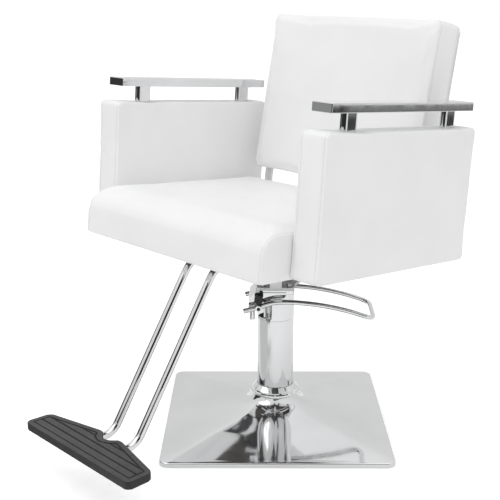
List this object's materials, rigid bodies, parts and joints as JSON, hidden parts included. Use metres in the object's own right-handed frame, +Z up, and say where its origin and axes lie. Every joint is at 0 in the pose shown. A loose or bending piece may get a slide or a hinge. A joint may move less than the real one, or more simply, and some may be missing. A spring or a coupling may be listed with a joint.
{
  "type": "styling chair",
  "caption": "Hydraulic salon chair: square chrome foot, pump with a hooped lever, cushioned seat and back, padded arms with raised bars, and a T-shaped footrest.",
  "frame": {"origin": "on the floor on the pump's axis, in the middle of the square foot", "axes": "+Z up; the seat faces -Y; +X is the sitter's left; the foot is turned 46.5 degrees about +Z from the seat"},
  "size_m": [0.6408, 0.8324, 0.8401],
  "materials": {
    "chrome": "polished",
    "steel": "satin",
    "black_steel": "satin",
    "white_steel": "satin",
    "iron": "matte",
    "rubber": "matte",
    "tread": "matte",
    "white_vinyl": "satin",
    "plywood": "matte"
  },
  "bodies": {
    "base": {"base_pan": "chrome", "base_plate": "iron", "pump_flange": "steel", "flange_bolt_1": "steel", "flange_bolt_2": "steel", "flange_bolt_3": "steel", "flange_bolt_4": "steel", "trim_ring": "chrome", "jacket_tube": "chrome", "pump_cylinder": "steel", "cylinder_gland": "rubber"},
    "lift": {"ram": "chrome", "piston": "steel", "piston_seal": "rubber", "swivel_bearing": "steel"},
    "chair": {"pump_head": "chrome", "valve_barrel": "chrome", "stop_roller_near": "rubber", "stop_roller_far": "rubber", "pivot_bolt_near": "steel", "pivot_bolt_far": "steel", "seat_spider": "white_steel", "head_bolt_1": "steel", "head_bolt_2": "steel", "head_bolt_3": "steel", "head_bolt_4": "steel", "spider_bolt_1": "steel", "spider_bolt_2": "steel", "spider_bolt_3": "steel", "spider_bolt_4": "steel", "front_rail": "black_steel", "rear_rail": "black_steel", "seat_board": "plywood", "seat_cushion": "white_vinyl", "arm_panel_left": "white_vinyl", "arm_panel_right": "white_vinyl", "arm_bolt_front_left": "steel", "arm_bolt_rear_left": "steel", "arm_bolt_front_right": "steel", "arm_bolt_rear_right": "steel", "arm_post_front_left": "chrome", "arm_post_rear_left": "chrome", "arm_post_front_right": "chrome", "arm_post_rear_right": "chrome", "arm_bar_left": "chrome", "arm_bar_right": "chrome", "back_cushion": "white_vinyl", "back_panel": "white_vinyl", "back_bracket_left": "white_steel", "back_bracket_right": "white_steel", "footrest_tube_left": "chrome", "footrest_tube_right": "chrome", "footrest_saddle": "black_steel", "saddle_bolt": "steel", "footrest_crossbar": "chrome", "footrest_pad": "tread"},
    "lever": {"pump_lever": "chrome", "lever_tongue": "steel"},
    "plunger": {"pump_plunger": "chrome"}
  },
  "joints": [
    {"name": "height", "type": "slide", "parent": "base", "child": "lift", "axis": [0, 0, 1], "range_m": [0, 0.14]},
    {"name": "swivel", "type": "hinge", "parent": "lift", "child": "chair", "pos_m": [0, 0, 0.2893], "axis": [0, 0, 1], "continuous": true},
    {"name": "pump_stroke", "type": "hinge", "parent": "chair", "child": "lever", "pos_m": [-0.02475, -0.02475, 0.269], "axis": [-0.7071, 0.7071, 0], "range_deg": [0, 25], "stiffness_Nm_per_rad": 6, "springref_deg": -20.05},
    {"name": "plunger_travel", "type": "slide", "parent": "chair", "child": "plunger", "axis": [0, 0, -1], "range_m": [0, 0.0056]}
  ],
  "couplings": [
    {"joint": "plunger_travel", "follows": "pump_stroke", "m_per_rad": 0.0125}
  ]
}
